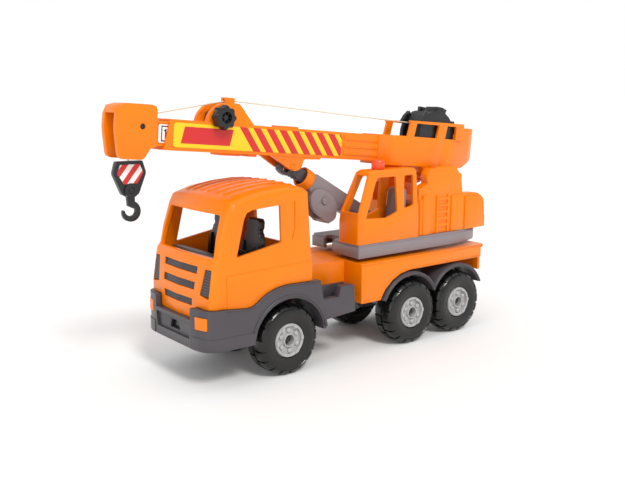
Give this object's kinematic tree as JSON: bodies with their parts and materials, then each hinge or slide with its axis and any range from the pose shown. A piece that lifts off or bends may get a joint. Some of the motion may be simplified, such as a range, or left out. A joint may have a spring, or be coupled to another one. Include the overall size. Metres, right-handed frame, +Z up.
{
  "type": "toy crane truck",
  "caption": "Toy lorry with a slewing crane turret, telescopic luffing boom, thumbwheel winch, hoist cord and hook, on rolling tyres.",
  "frame": {"origin": "centre of the bounding box in plan, on the ground under the tyres", "axes": "+Z up, -Y towards the driver's cab and the hook, +Y towards the engine housing, +X to the truck's left"},
  "size_m": [0.1154, 0.4364, 0.2523],
  "materials": {
    "orange_plastic": "satin",
    "charcoal_plastic": "satin",
    "grey_plastic": "satin",
    "black_plastic": "satin",
    "tyre_plastic": "matt",
    "hub_plastic": "satin",
    "axle_steel": "bright",
    "label_film": "gloss",
    "beacon_plastic": "gloss",
    "cord_fibre": "twisted"
  },
  "bodies": {
    "chassis": {"chassis_frame": "charcoal_plastic", "front_skirt": "charcoal_plastic", "lamp_left": "orange_plastic", "lamp_right": "orange_plastic", "mudguard_left": "charcoal_plastic", "mudguard_right": "charcoal_plastic", "deck": "orange_plastic", "cab_shell": "orange_plastic", "grille_insert": "charcoal_plastic", "cab_interior": "charcoal_plastic", "seat_left": "black_plastic", "seat_right": "black_plastic", "steering_wheel": "black_plastic"},
    "front_axle": {"axle_front": "axle_steel", "tyre_front_left": "tyre_plastic", "tyre_front_right": "tyre_plastic", "hub_front_left": "hub_plastic", "hub_front_right": "hub_plastic"},
    "middle_axle": {"axle_middle": "axle_steel", "tyre_middle_left": "tyre_plastic", "tyre_middle_right": "tyre_plastic", "hub_middle_left": "hub_plastic", "hub_middle_right": "hub_plastic"},
    "rear_axle": {"axle_rear": "axle_steel", "tyre_rear_left": "tyre_plastic", "tyre_rear_right": "tyre_plastic", "hub_rear_left": "hub_plastic", "hub_rear_right": "hub_plastic"},
    "turret": {"turret_base": "grey_plastic", "slew_retainer": "grey_plastic", "operator_cab": "orange_plastic", "operator_console": "grey_plastic", "operator_seat": "grey_plastic", "engine_housing": "orange_plastic", "boom_pivot_pin": "orange_plastic", "strut_foot_pin": "grey_plastic", "beacon": "beacon_plastic"},
    "boom": {"boom_sleeve": "orange_plastic", "winch_housing": "orange_plastic", "label_left": "label_film", "label_right": "label_film", "rod_pin": "orange_plastic", "cord_rear": "cord_fibre"},
    "winch": {"winch_drum": "black_plastic", "cord_winding": "cord_fibre"},
    "knob": {"telescope_knob": "black_plastic"},
    "boom_tip": {"boom_inner": "orange_plastic", "scale_sticker": "label_film", "boom_head": "orange_plastic", "cord_front": "cord_fibre"},
    "sheave": {"head_sheave": "black_plastic"},
    "hook_line": {"cord_drop": "cord_fibre"},
    "hook": {"hook_block": "black_plastic", "hook": "black_plastic", "hook_pin": "black_plastic"},
    "strut_barrel": {"strut_barrel": "grey_plastic", "strut_collar": "orange_plastic", "lever_pin": "grey_plastic"},
    "strut_rod": {"strut_rod": "charcoal_plastic"},
    "release_lever": {"release_lever": "grey_plastic"}
  },
  "joints": [
    {"name": "front_axle_spin", "type": "hinge", "parent": "chassis", "child": "front_axle", "pos_m": [0, -0.0755, 0.033], "axis": [1, 0, 0], "continuous": true},
    {"name": "middle_axle_spin", "type": "hinge", "parent": "chassis", "child": "middle_axle", "pos_m": [0, 0.0825, 0.033], "axis": [1, 0, 0], "continuous": true},
    {"name": "rear_axle_spin", "type": "hinge", "parent": "chassis", "child": "rear_axle", "pos_m": [0, 0.1525, 0.033], "axis": [1, 0, 0], "continuous": true},
    {"name": "slew", "type": "hinge", "parent": "chassis", "child": "turret", "pos_m": [0, 0.1145, 0.095], "axis": [0, 0, 1], "continuous": true},
    {"name": "luff", "type": "hinge", "parent": "turret", "child": "boom", "pos_m": [0, 0.1425, 0.166], "axis": [-1, 0, 0], "range_deg": [0, 35]},
    {"name": "strut_swing", "type": "hinge", "parent": "turret", "child": "strut_barrel", "pos_m": [0, 0.0745, 0.121], "axis": [-1, 0, 0], "range_deg": [0, 38.6]},
    {"name": "strut_extend", "type": "slide", "parent": "strut_barrel", "child": "strut_rod", "axis": [0, -0.8653, 0.5013], "range_m": [0, 0.0485]},
    {"name": "lever_press", "type": "hinge", "parent": "strut_barrel", "child": "release_lever", "pos_m": [0, 0.00063, 0.15108], "axis": [1, 0, 0], "range_deg": [0, 9], "stiffness_Nm_per_rad": 0.02},
    {"name": "telescope", "type": "slide", "parent": "boom", "child": "boom_tip", "axis": [0, -0.996, 0.0889], "range_m": [0, 0.1]},
    {"name": "knob_turn", "type": "hinge", "parent": "boom", "child": "knob", "pos_m": [0, -0.11839, 0.23506], "axis": [1, 0, 0], "range_deg": [-927, 0]},
    {"name": "winch_turn", "type": "hinge", "parent": "boom", "child": "winch", "pos_m": [0, 0.1475, 0.21073], "axis": [1, 0, 0], "range_deg": [0, 659]},
    {"name": "sheave_turn", "type": "hinge", "parent": "boom_tip", "child": "sheave", "pos_m": [0, -0.19422, 0.22918], "axis": [1, 0, 0], "range_deg": [0, 945]},
    {"name": "line_swing", "type": "hinge", "parent": "boom_tip", "child": "hook_line", "pos_m": [0, -0.2021, 0.203], "axis": [1, 0, 0], "range_deg": [-30, 45]},
    {"name": "hoist", "type": "slide", "parent": "hook_line", "child": "hook", "axis": [0, 0, -1], "range_m": [0, 0.13], "deforming": ["cord_drop"]}
  ],
  "couplings": [
    {"joint": "strut_swing", "follows": "luff", "ratio": 1.095},
    {"joint": "strut_extend", "follows": "luff", "m_per_rad": 0.07875},
    {"joint": "knob_turn", "follows": "telescope", "rad_per_m": -161.29},
    {"joint": "hoist", "follows": "winch_turn", "m_per_rad": 0.0113},
    {"joint": "sheave_turn", "follows": "winch_turn", "ratio": 1.43}
  ]
}
